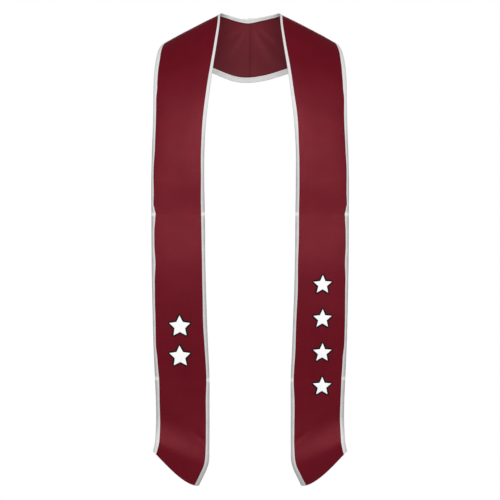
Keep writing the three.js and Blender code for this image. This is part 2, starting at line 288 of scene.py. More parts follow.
def cloth_surface(side):
    """The middle of the cloth's thickness on one half, as a function of across and station."""

    def at(across, station):
        across, station = np.broadcast_arrays(np.asarray(across, float), np.asarray(station, float))
        bulge = eased(station, stations, crown) * (1 - np.abs(2 * across - 1) ** CROWN_POWER)
        height = bulge - crease_depth(across, station) - edge_curl(side, across, station)
        height = height + soft_waves(side, across, station) + back_wrinkles(side, across, station)
        return ruled_point(across, station) + facing(ruled_point, across, station) * height[..., None]

    return at


cloth = {side: cloth_surface(side) for side in (-1, 1)}
ASKEW, ASKEW_SECTIONS = 0.0011, 3.4  # by how much the back is askew, and over how many sections


def askew(side, across, station):
    """The back lies a little askew. Beside the seam its left half hangs lower than its right."""
    away = (SEAM - station) / ASKEW_SECTIONS
    top, bottom = np.sin(math.pi * np.clip(away, -0.5, 1)), np.sin(2 * math.pi * np.clip(away, -0.25, 1))
    return side * ASKEW * ((1 - across) * top + across * bottom)


def lifted(side, across, station, height):
    """Points at a height off the middle of the cloth. side is 1 for the right half and -1 for the left."""
    point = cloth[side](across, station) + facing(cloth[side], across, station) * np.asarray(height)[..., None]
    point[..., 2] += askew(side, across, station)
    return point * [side, 1, 1]


print("a chest point (mm):", np.round(1000 * lifted(1, 0.5, names.index("chest"), 0.0), 1))

# %% [markdown]
# ## From points to a mesh
# A grid of points becomes quads, a ring of them becomes a tube, and each gets a UV map in metres: across the piece
# and along it. A weave drawn on that map follows the cloth round every bend, and its threads keep one size. A left
# half is a mirror image, so its faces are turned, and the signed volume shows whether they point outwards.


# %% Build a mesh and measure it
def cloth_mesh(name, side, points, faces, uv, masks, finishes=None):
    mesh = bpy.data.meshes.new(name)
    mesh.from_pydata(points, [], [face if side > 0 else face[::-1] for face in faces])
    places = mesh.uv_layers.new(name="cloth").uv
    corners = np.empty(len(mesh.loops), int)
    mesh.loops.foreach_get("vertex_index", corners)
    places.foreach_set("vector", np.asarray(uv, np.float32)[corners].ravel())
    for mask, values in masks.items():
        mesh.attributes.new(mask, "FLOAT", "POINT").data.foreach_set("value", np.asarray(values, np.float32))
    if finishes is not None:
        mesh.polygons.foreach_set("material_index", np.asarray(finishes, np.int32))
    mesh.shade_smooth()
    mesh.set_sharp_from_angle(angle=math.radians(50))
    piece = bpy.data.objects.new(name, mesh)
    scene.collection.objects.link(piece)
    solid = bmesh.new()
    solid.from_mesh(mesh)
    volume, open_edges = solid.calc_volume(signed=True), sum(not e.is_manifold for e in solid.edges)
    triangles = sum(len(face.verts) - 2 for face in solid.faces)
    solid.free()
    print(f"{name}: {triangles} triangles, {1e6 * volume:.1f} cm3, {open_edges} open edges")
    return piece


def grid_faces(grid):
    """Faces between the neighbours in a grid of point numbers."""
    return np.stack([grid[:-1, :-1], grid[:-1, 1:], grid[1:, 1:], grid[1:, :-1]], -1).reshape(-1, 4).tolist()


def tube_faces(rings):
    """Faces round a tube. Each row of the grid is a ring of it."""
    return grid_faces(np.hstack([rings, rings[:, :1]]).T)


SIDES = {"left": -1, "right": 1}
finished = {}  # every new piece by name, with the CAD nodes that it stands for and its slot

# %% [markdown]
# ## The satin panels
# Each half is a face and a lining with a stiffener between them, 1.2 mm together. The hem is turned in, so its edge
# is rounded. The rows of points are 2.2 mm apart, and closer together near the binding, where the edge curls.

# %% The satin panels
CLOTH_HALF = 0.0006  # half the thickness of face, stiffener and lining
PANEL_ROWS = 480
# mm from the fold of the binding to the points beside it, the first of them on the panel's edge
near_edge = np.array([1.3, 2.2, 3.2, 4.2, 5.2, 6.2, 7.1, 7.9, 8.6, 9.4, 10.4, 11.8, 13.5, 16, 19.5]) / 1000

# The binding's width on the face, in mm, at distances in mm from the tip. It is sewn by eye, so it wanders: it
# narrows where the chest turns it away and beside the neck, and spreads where a crease crosses it.
leg_widths = {
    "outer": [(0, 7.6), (80, 7.9), (125, 7.2), (165, 7.6), (205, 6.6), (235, 4.8), (300, 5.2), (350, 5.6)]
    + [(386, 7.3), (417, 5.9), (443, 5.9), (466, 7.3), (476, 8), (484, 6.2), (494, 4.3), (515, 5.2), (560, 4.6)]
    + [(600, 6), (670, 6.3), (702, 6), (730, 8), (765, 8.4), (800, 8.8), (830, 8), (850, 7), (880, 6)]
    + [(960, 7), (1100, 7)],
    "inner": [(0, 11.5), (12, 10), (30, 8), (60, 6.4), (128, 6.6), (170, 5.3), (235, 6), (280, 6.3), (330, 6.2)]
    + [(386, 5.6), (440, 6.2), (495, 6.3), (550, 5.6), (600, 5.6), (650, 6.4), (715, 5.9), (790, 4.9)]
    + [(850, 4.3), (890, 4.4), (960, 7), (1100, 7)],
}


def under_leg(edge, length):
    """The binding that shows on the lining side. At the neck it is widest over the seam at the nape."""
    near_seam = smooth_step(1 - (HALF_LENGTH - np.minimum(length, HALF_LENGTH)) / 0.05)
    return 0.007 + 0.0019 * near_seam if edge == "inner" else np.full_like(length, 0.0105)


def front_leg(edge, side, length):
    places, widths = np.array(leg_widths[edge]).T / 1000
    width = eased(length, places, widths)
    by_eye = 0.03 * np.sin(length / 0.0173 + 1.4 * side)
    if edge == "inner":  # beside the stars the left binding is wider and the right one narrower
        by_eye = by_eye - side * 0.1 * np.exp(-(((length - 0.275) / 0.05) ** 2))
    return width * (1 + by_eye)


def satin_panel(name, side):
    length = np.linspace(0, HALF_LENGTH, PANEL_ROWS)
    station = station_at(length)[:, None]
    width = width_at(station)
    inner = near_edge / width
    middle = np.linspace(0, 1, 16)[1:-1]
    start, end = inner[:, -1:], 1 - inner[:, -1:]
    across = np.hstack([inner, start + (end - start) * middle, (1 - inner)[:, ::-1]])
    rows, columns = across.shape
    turned_in = np.sqrt(np.clip(1 - (1 - np.clip(length / 0.0012, 0.03, 1)) ** 2, 0, 1))[:, None]
    half = CLOTH_HALF * turned_in * np.ones_like(across)
    points = np.concatenate([lifted(side, across, station, h).reshape(-1, 3) for h in (half, -half)])
    top = np.arange(rows * columns).reshape(rows, columns)
    under = top + rows * columns
    faces = grid_faces(top) + grid_faces(under.T)
    for pair in ((under[:, 0], top[:, 0]), (top[:, -1], under[:, -1]), (top[0], under[0])):
        faces += grid_faces(np.stack(pair, 1))
    faces += grid_faces(np.stack([top[-1], under[-1]]))
    finishes = np.ones(len(faces), int)
    finishes[: (rows - 1) * (columns - 1)] = 0
    distance = across * width
    uv = np.stack([distance, np.broadcast_to(length[:, None], distance.shape)], -1).reshape(-1, 2)
    over = [front_leg(edge, side, length)[:, None] for edge in ("inner", "outer")]
    below = [under_leg(edge, length)[:, None] for edge in ("inner", "outer")]
    beside = [np.minimum(distance - inner, width - distance - outer).ravel() for inner, outer in (over, below)]
    masks = {"from_binding": np.concatenate(beside)}
    return cloth_mesh(name, side, points, faces, np.vstack([uv, uv]), masks, finishes)


for half, side in SIDES.items():
    panel = satin_panel(f"{half}_cloth", side)
    finished[panel.name] = (panel, [f"{half}_panel"], "satin")

# %% [markdown]
# ## The binding
# Binding is a strip of white satin, folded over the edge and sewn through. Its section is a U with the panel's edge
# in its slot: a rounded fold, a puffed leg, a dent under the stitches and a turned-in end. That section is carried
# along the edge. At the nape one strip's end laps over the other's, so the right one grows by a layer there.

# %% The section of the binding
WALL = 0.0005  # thickness of the folded strip
SLOT = CLOTH_HALF + 0.00002
LAP, LAP_GROWTH = 0.009, 0.00056  # how far the upper strip runs past the seam, and how much larger it is there
STITCH_LINE = 0.84  # where the stitches are, as a share of the leg
STRIP_ROWS = 520
# shares of each leg, with the height there in mm above or below the slot
upper_leg = [(1, 0), (1.005, 0.28), (0.985, 0.48), (0.95, 0.58), (0.89, 0.5), (STITCH_LINE, 0.34), (0.79, 0.5)]
upper_leg += [(0.66, 0.64), (0.48, 0.68), (0.3, 0.6)]
lower_leg = [(0.2, 0.58), (0.36, 0.64), (0.5, 0.6), (0.56, 0.5), (0.6, 0.36), (0.64, 0.5), (0.8, 0.62)]
lower_leg += [(0.95, 0.58), (0.985, 0.48), (1.003, 0.28), (1, 0)]


def binding_section(upper_width, lower_width):
    """Rows of (distance from the fold, height) round the strip, one row for each width of its two legs."""
    skin = SLOT + WALL
    ring = [(upper_width * share, SLOT + height / 1000) for share, height in upper_leg]
    fold = np.radians([72, 48, 24, 0, -24, -48, -72])
    ring += [(skin * (1 - math.cos(angle)), skin * math.sin(angle)) for angle in fold]
    ring += [(lower_width * share, -SLOT - height / 1000) for share, height in lower_leg]
    ring += [(0.005, -SLOT), (0.0011, -SLOT), (0.0011, 0), (0.0011, SLOT), (0.0025, SLOT)]  # inside the slot
    distances = [np.broadcast_to(distance, upper_width.shape) for distance, _ in ring]
    heights = [height for _, height in ring]
    return np.stack(distances, 1), np.broadcast_to(heights, (len(upper_width), len(heights)))


def binding_strip(name, side, edge, lapped=False):
    length = np.linspace(0, HALF_LENGTH + (LAP if lapped else 0), STRIP_ROWS)
    leg = front_leg(edge, side, np.minimum(length, HALF_LENGTH))
    distance, height = binding_section(leg, under_leg(edge, length))
    if lapped:
        grown = LAP_GROWTH * smooth_step((length - HALF_LENGTH + 0.012) / 0.008)[:, None]
        distance = distance - grown * (distance < 0.001)
        height = height + grown * np.sign(height)
    station = station_at(length)[:, None]
    width = width_at(station)
    across = distance / width if edge == "inner" else 1 - distance / width
    points = lifted(side, across, station, height)
    count = distance.shape[1]
    ring = np.arange(STRIP_ROWS * count).reshape(STRIP_ROWS, count)
    faces = tube_faces(ring) + [ring[0].tolist(), ring[-1][::-1].tolist()]
    steps = np.linalg.norm(np.diff(np.stack([distance, height], -1), axis=1), axis=-1)
    round_it = np.hstack([np.zeros((STRIP_ROWS, 1)), np.cumsum(steps, 1)])
    uv = np.stack([round_it, np.broadcast_to(length[:, None], round_it.shape)], -1).reshape(-1, 2)
    # painted shade: grey on the lower fronts, most at the free edge and the inner tip, and none over the shoulder
    free_edge = smooth_step((0.8 * leg[:, None] - distance) / 0.0028)
    low = 1 - smooth_step((length - 0.56) / 0.14)
    at_tip, reach = (0.35, 0.04) if edge == "inner" else (-0.35, 0.12)
    painted_shade = 0.45 + 0.18 * low + at_tip * (1 - smooth_step(length / reach))
    # painted light: the grey lifts where a crease lays the binding flat
    painted_shade = painted_shade * (1 - 0.6 * np.clip(at_crease(length, 0.003), 0, 1)) * (1 - smooth_step((length - 0.88) / 0.05))
    if edge == "inner":  # painted shade at the nape as well
        painted_shade = painted_shade + 0.33 * smooth_step((length - 0.93) / 0.04)
    masks = {"painted_shade": (painted_shade[:, None] * (1 + 0.5 * free_edge * low[:, None])).ravel()}
    return cloth_mesh(name, side if edge == "inner" else -side, points.reshape(-1, 3), faces, uv, masks)


print("the binding's section has", len(upper_leg) + 7 + len(lower_leg) + 5, "points")

# %% [markdown]
# Each half has an inner and an outer strip. The right inner strip is the one that laps over.

# %% The four strips of binding
for half, side in SIDES.items():
    for edge, place in (("inner", "neck"), ("outer", "outer")):
        lapped = half == "right" and edge == "inner"
        strip = binding_strip(f"{half}_{place}_binding", side, edge, lapped)
        finished[strip.name] = (strip, [f"{half}_{place}_trim"], "binding")

# %% [markdown]
# ## The star patches
# Varsity patches are cut from twill: a white star on a slightly larger black one. Each is drawn flat and then laid
# on the curved front, by finding the place on the cloth at the right height. Its face swells a little in the middle
# and rounds off at its edge, where the border stitches hold it down.

# %% Draw a star and lay it on a front
TIPS = 5
BORDER = 0.0028  # black that shows round the white
BACKING_FOOT, BACKING_TOP = CLOTH_HALF + 0.00002, 0.00135
STAR_FOOT, STAR_TOP = 0.00137, 0.0021
BORDER_LINE, EDGING_LINE = 0.0015, -0.0004  # where the middles of the stitches are, out from the white star's edge


def star_outline(tip, notch, outset, square_tips):
    """Corners of a star round its centre, grown by outset. Square tips are cut off at that distance."""
    angles = math.pi / 2 + np.arange(-1, 2 * TIPS + 1) * math.pi / TIPS
    radii = np.where(np.arange(-1, 2 * TIPS + 1) % 2 == 0, tip, notch)
    corners = np.stack([radii * np.cos(angles), radii * np.sin(angles)], 1)
    outline = []
    for i in range(1, 2 * TIPS + 1):
        before, here, after = corners[i - 1 : i + 2]
        sides = np.array([here - before, after - here])
        normals = sides[:, ::-1] * [1, -1] / np.linalg.norm(sides, axis=1, keepdims=True)
        if square_tips and i % 2 == 1:
            outline += list(here + normals * outset)
        else:
            both = normals.sum(0) / np.linalg.norm(normals.sum(0))
            outline.append(here + both * outset / (both @ normals[0]))
    return np.array(outline)


def divided(outline, parts):
    shares = np.arange(parts)[:, None] / parts
    return np.concatenate([a + (b - a) * shares for a, b in zip(outline, np.roll(outline, -1, 0))])


def station_at_height(side, across, heights):
    """The stations where the cloth is at some heights, found by halving. The fronts only ever fall."""
    low, high = np.zeros(len(heights)), np.full(len(heights), SHOULDER)
    for _ in range(30):
        station = (low + high) / 2
        below = cloth[side](across, station)[:, 2] < heights
        low, high = np.where(below, station, low), np.where(below, high, station)
    return station


def lay_on_front(side, place, flat, height):
    """Flat points of a patch, laid on a front. place says how far across the band its centre is, and how high."""
    centre, centre_height = place
    middle = station_at_height(side, np.full(1, centre), np.full(1, centre_height))
    across = centre + flat[:, 0] / width_at(middle)
    return lifted(side, across, station_at_height(side, across, centre_height + flat[:, 1]), height)


def star_patch(name, side, place, outline, foot, top, swell):
    edge, centre = divided(outline, 6), np.zeros((1, 2))
    # shares of the outline, with how far down from top to foot each lies
    profile = [(0.22, 0), (0.45, 0), (0.68, 0), (0.84, 0), (0.93, 0.05), (0.975, 0.16), (1, 0.45)]
    rings = [(share, top + swell * (1 - share**2) - drop * (top - foot)) for share, drop in profile]
    rings += [(1, foot), (0.5, foot)]
    flat = np.concatenate([centre, *(edge * share for share, _ in rings), centre])
    height = np.concatenate([[top + swell], np.repeat([h for _, h in rings], len(edge)), [foot]])
    points = lay_on_front(side, place, flat, height)
    count, last = len(edge), len(points) - 1
    ring = np.arange(1, last).reshape(-1, count)
    faces = [[0, a, b] for a, b in zip(ring[0], np.roll(ring[0], -1))] + tube_faces(ring)
    faces += [[last, b, a] for a, b in zip(ring[-1], np.roll(ring[-1], -1))]
    return cloth_mesh(name, side, points, faces, flat, {})


print("corners of a backing with cut tips:", len(star_outline(1, 0.5, 0.1, True)))

# %% [markdown]
# The left front has two larger stars and the right one four smaller ones. Each column hangs plumb from its first
# star, wherever the band goes beside it. The lines of the border stitches are kept for the sewing.

# %% The two columns of stars
# half, count, drop of the first star as a share of the front's, how far it is out from the middle of the band,
# pitch in tip radii, tip radius, and notch radius as a share of that
columns = [("left", 2, 0.668, 0, 2.72, 0.0205, 0.5), ("right", 4, 0.582, 0.017, 3.5, 0.018, 0.46)]
border_lines, edging_lines = {half: [] for half in SIDES}, {half: [] for half in SIDES}
for half, count, first, out, pitch, tip, notch in columns:
    side = SIDES[half]
    heights = -first * FRONT_DROP - np.arange(count) * pitch * tip
    middle = station_at_height(side, np.full(count, 0.5), heights)
    inner, outer = neck_curve(middle)[:, 0], outer_curve(middle)[:, 0]
    plumb = inner[0] + (outer[0] - inner[0]) * (0.5 + out)
    for i, place in enumerate(zip((plumb - inner) / (outer - inner), heights)):
        star = star_outline(tip, notch * tip, 0, False)
        backing = star_outline(tip, notch * tip, BORDER, True)
        node = f"{half}_star_{i + 1}"
        black = star_patch(f"{node}_black_twill", side, place, backing, BACKING_FOOT, BACKING_TOP, 0.0001)
        white = star_patch(f"{node}_white_twill", side, place, star, STAR_FOOT, STAR_TOP, 0.0003)
        finished[black.name] = (black, [f"{node}_backing"], "patch_black")
        finished[white.name] = (white, [node], "patch_white")
        border = divided(star_outline(tip, notch * tip, BORDER_LINE, True), 8)
        edging = divided(star_outline(tip, notch * tip, EDGING_LINE, False), 8)
        border_lines[half].append((side, place, border, BACKING_TOP))
        edging_lines[half].append((side, place, edging, STAR_TOP - 0.0001))
print(len(finished), "pieces so far")

# %% [markdown]
# ## Stitches
# A seam is one small shape repeated along a line, which is what Geometry Nodes are for. One tree sets a thread at
# every step of a line, turned along it, for the seams that hold the binding. The other sets threads side by side
# across a line, as an embroidery machine does round a patch. Both end in real geometry with a material on it.


# %% Helpers for node trees
FLOAT, VECTOR, GEOMETRY = "NodeSocketFloat", "NodeSocketVector", "NodeSocketGeometry"


def new_tree(name, kind, inputs, outputs):
    """A new group, with the sockets that its nodes start from and lead to. An input is given by type or by value."""
    tree = bpy.data.node_groups.new(name, kind)
    for label, value in inputs.items():
        by_type = isinstance(value, str)
        made = tree.interface.new_socket(label, in_out="INPUT", socket_type=value if by_type else FLOAT)
        if not by_type:
            made.default_value = value
    for label, socket in outputs.items():
        tree.interface.new_socket(label, in_out="OUTPUT", socket_type=socket)
    return tree, tree.nodes.new("NodeGroupInput").outputs, tree.nodes.new("NodeGroupOutput").inputs


def feed(tree, socket, value):
    """Feeds a socket with a value, another socket, or the first output of a node."""
    if isinstance(value, bpy.types.Node):
        value = value.outputs[0]
    if isinstance(value, bpy.types.NodeSocket):
        tree.links.new(value, socket)
    else:
        socket.default_value = value


def add_node(tree, kind, inputs=None, **settings):
    """A new node. inputs says what feeds its sockets, by name or number."""
    node = tree.nodes.new(kind)
    for setting, value in settings.items():
        setattr(node, setting, value)
    for socket, value in (inputs or {}).items():
        feed(tree, node.inputs[socket], value)
    return node


# %% [markdown]
# Both trees are made by one function, which takes the way to turn the stitches from another.

# %% The two trees that set stitches
def follow_line(tree, places):
    """Turns each stitch along the line, with a little wobble of its own."""
    loose = {0: (-0.05, -0.05, 0), 1: (0.05, 0.05, 0), "Seed": 7}
    wobble = add_node(tree, "FunctionNodeRandomValue", loose, data_type="FLOAT_VECTOR")
    both = {0: places.outputs["Rotation"], 1: wobble}
    return {"Rotation": add_node(tree, "FunctionNodeRotateRotation", both, rotation_space="LOCAL")}


def cross_line(tree, places):
    """Turns each stitch across the line and level with the cloth, and makes it a little longer or shorter."""
    up = add_node(tree, "GeometryNodeInputNamedAttribute", {"Name": "up"}, data_type="FLOAT_VECTOR")
    standing = add_node(tree, "FunctionNodeAlignRotationToVector", {"Vector": up}, axis="Z")
    aim = {"Rotation": standing, "Vector": places.outputs["Tangent"]}
    turned = add_node(tree, "FunctionNodeAlignRotationToVector", aim, axis="Y", pivot_axis="Z")
    uneven = add_node(tree, "FunctionNodeRandomValue", {2: 0.92, 3: 1.06, "Seed": 11}, data_type="FLOAT")
    stretch = add_node(tree, "ShaderNodeCombineXYZ", {0: uneven.outputs[1], 1: 1.0, 2: 1.0})
    return {"Rotation": turned, "Scale": stretch}


def stitch_tree(name, sizes, segments, axes, turn):
    """Sets a thread at every pitch of a line. The thread is a ball whose three axes are named sizes."""
    inputs = {"Line": GEOMETRY, **sizes, "Finish": "NodeSocketMaterial"}
    tree, given, result = new_tree(name, "GeometryNodeTree", inputs, {"Stitches": GEOMETRY})
    line = add_node(tree, "GeometryNodeMeshToCurve", {0: given["Line"]})
    steps = {"Curve": line, "Length": given["Pitch"]}
    places = add_node(tree, "GeometryNodeCurveToPoints", steps, mode="LENGTH")
    ball = add_node(tree, "GeometryNodeMeshUVSphere", {"Segments": segments, "Rings": 4, "Radius": 0.5})
    size = add_node(tree, "ShaderNodeCombineXYZ", {k: given[label] for k, label in enumerate(axes)})
    thread = add_node(tree, "GeometryNodeTransform", {"Geometry": ball, "Scale": size})
    placed = {"Points": places, "Instance": thread} | turn(tree, places)
    stitches = add_node(tree, "GeometryNodeInstanceOnPoints", placed)
    real = add_node(tree, "GeometryNodeRealizeInstances", {0: stitches})
    done = add_node(tree, "GeometryNodeSetMaterial", {0: real, "Material": given["Finish"]})
    feed(tree, result["Stitches"], done)
    return tree


seam_sizes = {"Pitch": 0.0031, "Stitch Length": 0.0024, "Thread": 0.00034}
row_of_stitches = stitch_tree("row of stitches", seam_sizes, 5, ("Thread", "Thread", "Stitch Length"), follow_line)
border_sizes = {"Pitch": 0.00044, "Stitch Length": 0.0024, "Thread": 0.00046, "Rise": 0.0004}
border_axes = ("Stitch Length", "Thread", "Rise")
satin_stitch_border = stitch_tree("satin stitch border", border_sizes, 6, border_axes, cross_line)
print("node trees for stitches:", row_of_stitches.name, "and", satin_stitch_border.name)

# %% [markdown]
# ## Shared looks for cloth
# Three effects come back in several finishes, so each is a shader node group with its own inputs. One draws threads
# side by side, straight for satin and slanted for twill. One is a slow mottle for colour and gloss. One puckers
# the cloth beside a seam and paints the binding's shadow on it. They read the UV map in metres, so a thread of
# 0.35 mm is 0.35 mm wide everywhere.


# %% Node groups for threads, mottle and pucker
def calculate(tree, operation, *values, **settings):
    return add_node(tree, "ShaderNodeMath", dict(enumerate(values)), operation=operation, **settings)


def noise(tree, place, scale, detail, **inputs):
    cloud = {"Vector": place, "Scale": scale, "Detail": detail} | inputs
    return add_node(tree, "ShaderNodeTexNoise", cloud)


def thread_group():
    inputs = {"Place": VECTOR, "Pitch": 0.00035, "Turn": 0.0, "Slub": 0.3}
    tree, given, result = new_tree("threads", "ShaderNodeTree", inputs, {"Height": FLOAT, "Tone": FLOAT})
    turn = {"Vector": given["Place"], "Angle": given["Turn"]}
    turned = add_node(tree, "ShaderNodeVectorRotate", turn, rotation_type="Z_AXIS")
    xyz = add_node(tree, "ShaderNodeSeparateXYZ", {0: turned})
    count = calculate(tree, "DIVIDE", xyz, given["Pitch"])
    ridge = calculate(tree, "SINE", calculate(tree, "MULTIPLY", calculate(tree, "FRACT", count), math.pi))
    which = calculate(tree, "FLOOR", count)
    own = add_node(tree, "ShaderNodeTexWhiteNoise", {"W": which}, noise_dimensions="1D")
    some, along = calculate(tree, "MULTIPLY", count, 0.11), calculate(tree, "MULTIPLY", xyz.outputs[1], 45.0)
    stretched = add_node(tree, "ShaderNodeCombineXYZ", {0: some, 1: along})
    slubs = noise(tree, stretched, 1.0, 2.0)
    height = calculate(tree, "MULTIPLY", ridge, calculate(tree, "MULTIPLY_ADD", slubs, 0.25, 0.75))
    centred = calculate(tree, "SUBTRACT", calculate(tree, "ADD", own, slubs), 1.0)
    feed(tree, result["Height"], height)
    feed(tree, result["Tone"], calculate(tree, "MULTIPLY_ADD", centred, given["Slub"], 0.5))
    return tree


def mottle_group():
    inputs = {"Place": VECTOR, "Scale": 20.0, "Low": 0.0, "High": 1.0}
    tree, given, result = new_tree("slow mottle", "ShaderNodeTree", inputs, {"Value": FLOAT})
    cloud = noise(tree, given["Place"], given["Scale"], 3.0, Roughness=0.55)
    spread = {"Value": cloud, "From Min": 0.3, "From Max": 0.7, "To Min": given["Low"], "To Max": given["High"]}
    feed(tree, result["Value"], add_node(tree, "ShaderNodeMapRange", spread))
    return tree


def fade_out(tree, value, start, end):
    """1 up to start, falling smoothly to 0 at end."""
    limits = {"Value": value, "From Min": start, "From Max": end, "To Min": 1.0, "To Max": 0.0}
    return add_node(tree, "ShaderNodeMapRange", limits, interpolation_type="SMOOTHSTEP")


def pucker_group():
    inputs = {"Place": VECTOR, "Distance": 0.0, "Reach": 0.009, "Ripple": 0.008}
    tree, given, result = new_tree("pucker", "ShaderNodeTree", inputs, {"Height": FLOAT, "Shade": FLOAT})
    xyz = add_node(tree, "ShaderNodeSeparateXYZ", {0: given["Place"]})
    steps = calculate(tree, "DIVIDE", xyz.outputs[1], given["Ripple"])
    moved = calculate(tree, "MULTIPLY_ADD", noise(tree, given["Place"], 55.0, 1.0), 3.0, steps)
    wave = calculate(tree, "SINE", calculate(tree, "MULTIPLY", moved, 2 * math.pi))
    near = fade_out(tree, given["Distance"], 0.0, given["Reach"])
    feed(tree, result["Height"], calculate(tree, "MULTIPLY", wave, near))
    # Shade is a painted shadow of the binding, full within 0.6 mm of it and gone at 3.2 mm
    feed(tree, result["Shade"], fade_out(tree, given["Distance"], 0.0006, 0.0032))
    return tree


threads, slow_mottle, pucker = thread_group(), mottle_group(), pucker_group()
print("shader groups:", threads.name, "/", slow_mottle.name, "/", pucker.name)

# %% [markdown]
# ## Finishes
# Maroon satin is smooth along its threads, so light spreads over it in a soft, tinted glow. A share of metal in the
# shader gives that glow the colour of the cloth. The lining is the back of the same cloth, duller and greyer. The
# binding is white satin with painted shade: grey along the folded edges of the lower fronts, at the inner tips and
# at the nape, less where a crease crosses them. Twill has slanted ribs, and thread is a plain, slightly glossy fibre.


# %% Helpers for materials
def finish(name, **sockets):
    """A material with one Principled shader. sockets are its constant values."""
    material = bpy.data.materials.new(name)
    material.use_nodes = True
    for socket, value in sockets.items():
        material.node_tree.nodes["Principled BSDF"].inputs[socket.replace("_", " ")].default_value = value
    return material, material.node_tree


def grouped(tree, group, **inputs):
    return add_node(tree, "ShaderNodeGroup", inputs, node_tree=group)


def blend_colours(tree, share, low, high):
    """A colour between two, by a share from 0 to 1. Each colour may be three numbers or a socket."""
    inputs = {0: share, 6: low, 7: high}
    inputs = {socket: (*value, 1) if isinstance(value, tuple) else value for socket, value in inputs.items()}
    return add_node(tree, "ShaderNodeMix", inputs, data_type="RGBA").outputs[2]


def place_on_cloth(tree):
    return add_node(tree, "ShaderNodeUVMap", uv_map="cloth")


def mask(tree, name):
    return add_node(tree, "ShaderNodeAttribute", attribute_name=name).outputs["Fac"]


def dressed(material, colour, gloss, *layers):
    """Feeds a material's shader. layers are bumps in a row, each a height and its distance in metres."""
    tree = material.node_tree
    under = {}
    for height, distance in layers:
        bump = add_node(tree, "ShaderNodeBump", {"Height": height, "Distance": distance, "Strength": 1.0} | under)
        under = {"Normal": bump}
    shader = tree.nodes["Principled BSDF"]
    for socket, value in {"Base Color": colour, "Roughness": gloss, "Normal": bump}.items():
        feed(tree, shader.inputs[socket], value)
    return material


# %% [markdown]
# The same threads run along the face and the lining. Beside the binding the cloth puckers and has a painted shadow.

# %% Maroon satin and its lining
def maroon_cloth(name, dark, light, seam, rough, metallic, specular):
    material, tree = finish(name, Metallic=metallic, Specular_IOR_Level=specular)
    place, beside = place_on_cloth(tree), mask(tree, "from_binding")
    weave = grouped(tree, threads, Place=place, Pitch=0.00034, Turn=0.0, Slub=0.45)
    cloud = grouped(tree, slow_mottle, Place=place, Scale=16.0, Low=0.25, High=0.75)
    puckered = grouped(tree, pucker, Place=place, Distance=beside)
    tone = calculate(tree, "MULTIPLY", weave.outputs["Tone"], cloud)
    colour = blend_colours(tree, calculate(tree, "MULTIPLY", tone, 2.0, use_clamp=True), dark, light)
    # painted shadow: beside the binding the colour goes over to the darker seam colour
    colour = blend_colours(tree, puckered.outputs["Shade"], colour, seam)
    gloss = grouped(tree, slow_mottle, Place=place, Scale=42.0, Low=rough - 0.035, High=rough + 0.035)
    return dressed(material, colour, gloss, (weave.outputs["Height"], 0.00003), (puckered.outputs["Height"], 0.00005))


# seam is the colour of the painted shadow beside the binding, on the face and on the lining
satin = maroon_cloth(
    "maroon_satin",
    dark=(0.119, 0.001, 0.0074),
    light=(0.146, 0.002, 0.0108),
    seam=(0.122, 0.0008, 0.006),
    rough=0.45,
    metallic=0.26,
    specular=0.18,
)
lining = maroon_cloth(
    "maroon_lining",
    dark=(0.139, 0.0118, 0.0195),
    light=(0.171, 0.0158, 0.0255),
    seam=(0.11, 0.006, 0.012),
    rough=0.5,
    metallic=0.16,
    specular=0.22,
)
print("cloth:", satin.name, "and", lining.name)

# %% [markdown]
# Bias binding is cut slanting, so its threads and the small drag folds of its seam lie across it at an angle.

# %% White binding
def binding_satin():
    material, tree = finish("white_binding_satin", Specular_IOR_Level=0.35)
    place, painted_shade = place_on_cloth(tree), mask(tree, "painted_shade")
    weave = grouped(tree, threads, Place=place, Pitch=0.0003, Turn=math.radians(45), Slub=0.3)
    cloud = grouped(tree, slow_mottle, Place=place, Scale=60.0, Low=0.0, High=1.0)
    white = blend_colours(tree, weave.outputs["Tone"], (0.83, 0.83, 0.83), (0.9, 0.9, 0.9))
    # painted shade: the mottled grey that the binding turns to where the mask puts it in shade
    painted_grey = blend_colours(tree, cloud, (0.38, 0.378, 0.375), (0.46, 0.458, 0.455))
    gloss = grouped(tree, slow_mottle, Place=place, Scale=90.0, Low=0.42, High=0.54)
    colour = blend_colours(tree, painted_shade, white, painted_grey)
    drag = {"Vector": place, "Rotation": (0, 0, math.radians(38)), "Scale": (260, 60, 1)}
    pull = noise(tree, add_node(tree, "ShaderNodeMapping", drag), 1.0, 2.0)
    return dressed(material, colour, gloss, (weave.outputs["Height"], 0.00003), (pull, 0.00035))


white_binding = binding_satin()
print("binding:", white_binding.name)

# %% [markdown]
# Twill takes its ribs from the same thread group, turned and made wider. Stitches have no map, so their fibre is
# drawn in the space of the object.

# %% Twill and thread
def twill(name, low, high, rough):
    material, tree = finish(name, Specular_IOR_Level=0.2)
    place = place_on_cloth(tree)
    ribs = grouped(tree, threads, Place=place, Pitch=0.0006, Turn=math.radians(35), Slub=0.5)
    cloud = grouped(tree, slow_mottle, Place=place, Scale=110.0, Low=rough - 0.05, High=rough + 0.05)
    colour = blend_colours(tree, ribs.outputs["Tone"], low, high)
    return dressed(material, colour, cloud, (ribs.outputs["Height"], 0.00008))


def thread(name, low, high, rough, specular):
    material, tree = finish(name, Specular_IOR_Level=specular)
    place = add_node(tree, "ShaderNodeTexCoord").outputs["Object"]
    fibre = noise(tree, place, 2400.0, 1.0)
    cloud = grouped(tree, slow_mottle, Place=place, Scale=300.0, Low=rough - 0.05, High=rough + 0.05)
    return dressed(material, blend_colours(tree, fibre, low, high), cloud, (fibre, 0.00004))


